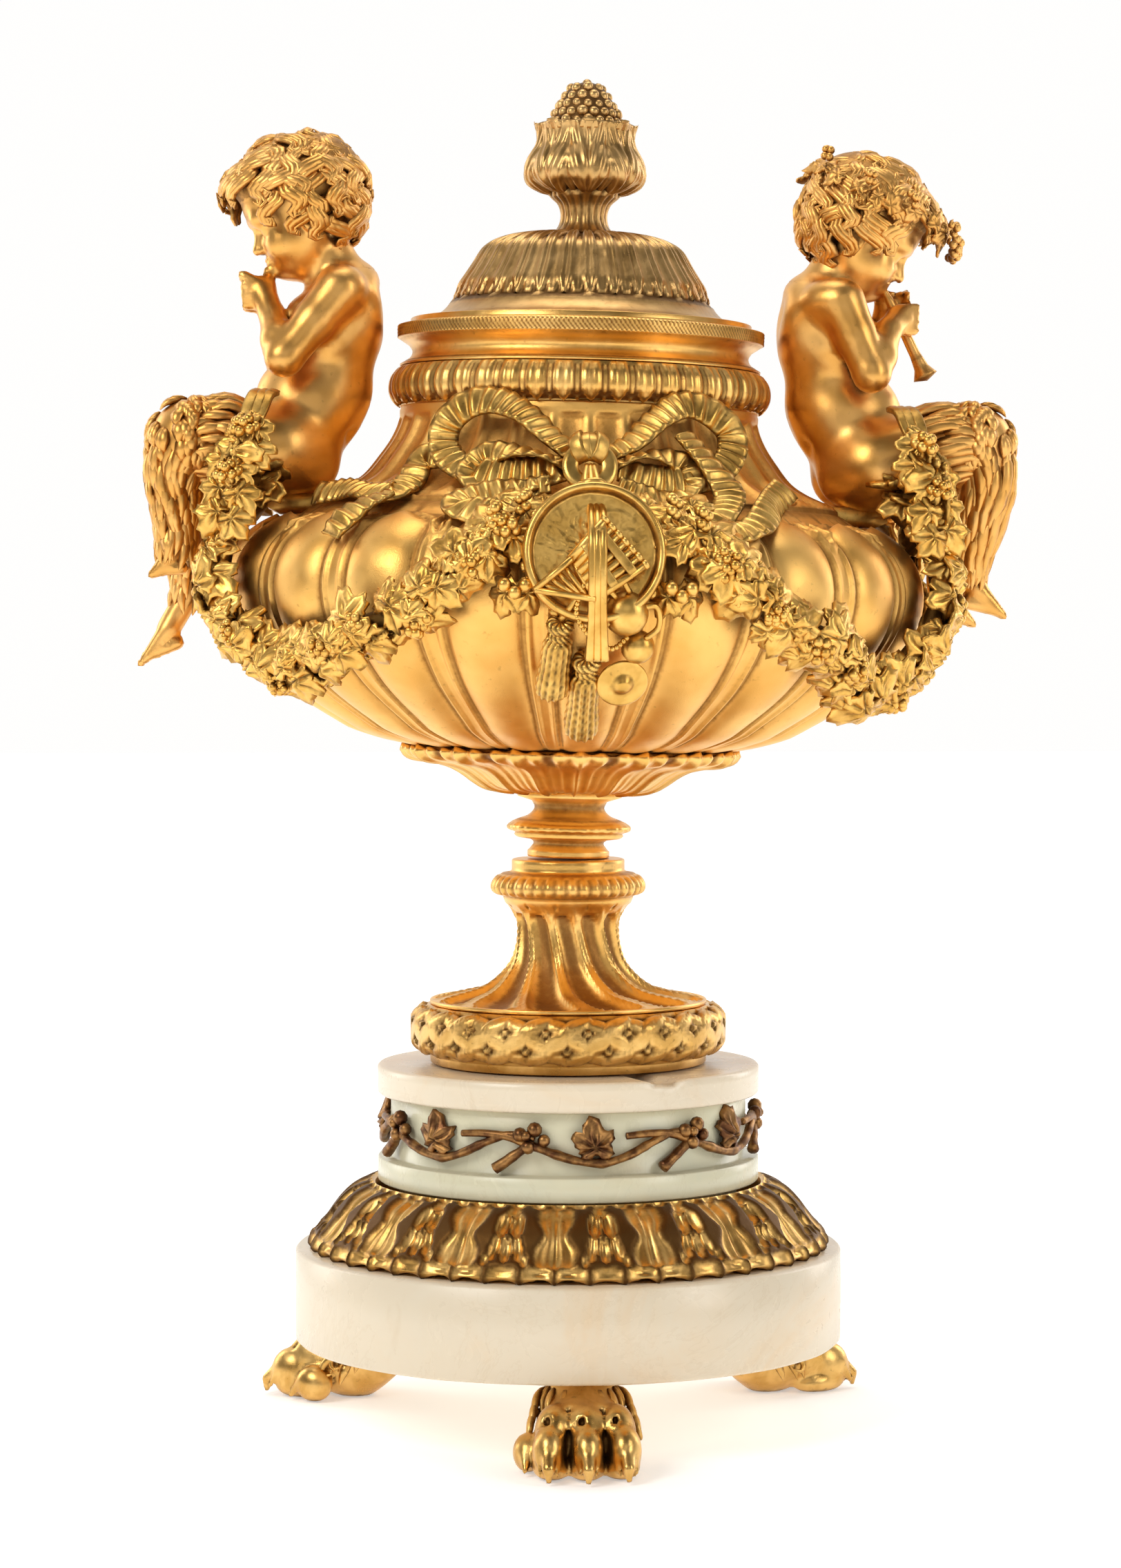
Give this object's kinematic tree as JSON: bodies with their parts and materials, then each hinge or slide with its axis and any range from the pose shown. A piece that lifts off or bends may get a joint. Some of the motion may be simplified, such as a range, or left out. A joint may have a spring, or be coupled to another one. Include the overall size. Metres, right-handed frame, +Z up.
{
  "type": "mantel urn",
  "caption": "Gilt-bronze lidded vase with seated infant satyrs, vine swags and a hanging trophy, on a round marble plinth with a bronze leaf collar and lion-paw feet.",
  "frame": {"origin": "floor level on the axis of the round plinth", "axes": "+Z up, -Y to the front with the single paw and the trophy, +X to the satyr with the pipe"},
  "size_m": [0.3005, 0.2681, 0.4599],
  "materials": {
    "gilt_bronze_bowl": "matt peach-gold gilding on chased bronze, worn brighter on the lobes",
    "gilt_bronze_stem": "burnished gilding with brown tarnish in the hollows",
    "gilt_bronze_figures": "burnished deep orange-gold gilding with dark recesses",
    "gilt_bronze_swags": "darker greenish antique gilding, rubbed bright on the leaf edges",
    "gilt_bronze_lid": "brownish worn gilding",
    "gilt_bronze_mounts": "burnished gilding with dark dirt in the recesses",
    "patinated_bronze": "dark brown patina with gilding left on the edges",
    "marble_cream": "polished warm cream marble with faint blotches",
    "marble_pale": "polished pale, slightly greenish marble"
  },
  "bodies": {
    "root": {"paw_foot_front": "gilt_bronze_mounts", "paw_foot_right": "gilt_bronze_mounts", "paw_foot_left": "gilt_bronze_mounts", "marble_base_disc": "marble_cream", "acanthus_collar": "gilt_bronze_mounts", "marble_drum": "marble_pale", "vine_mount": "patinated_bronze", "marble_cap_disc": "marble_cream", "laurel_ring": "gilt_bronze_mounts", "fluted_foot": "gilt_bronze_stem", "stem_knop": "gilt_bronze_stem", "leaf_calyx": "gilt_bronze_stem", "urn_body": "gilt_bronze_bowl", "tongue_collar": "gilt_bronze_stem", "rim_ring": "gilt_bronze_stem", "lid": "gilt_bronze_lid", "lid_finial": "gilt_bronze_lid", "faun_left": "gilt_bronze_figures", "faun_right": "gilt_bronze_figures", "seat_left": "gilt_bronze_swags", "seat_right": "gilt_bronze_swags", "garland_front_left": "gilt_bronze_swags", "garland_front_right": "gilt_bronze_swags", "garland_back_left": "gilt_bronze_swags", "garland_back_right": "gilt_bronze_swags", "ribbon_bow_front": "gilt_bronze_swags", "ribbon_bow_back": "gilt_bronze_swags", "trophy_front": "gilt_bronze_swags", "trophy_back": "gilt_bronze_swags"}
  },
  "joints": []
}
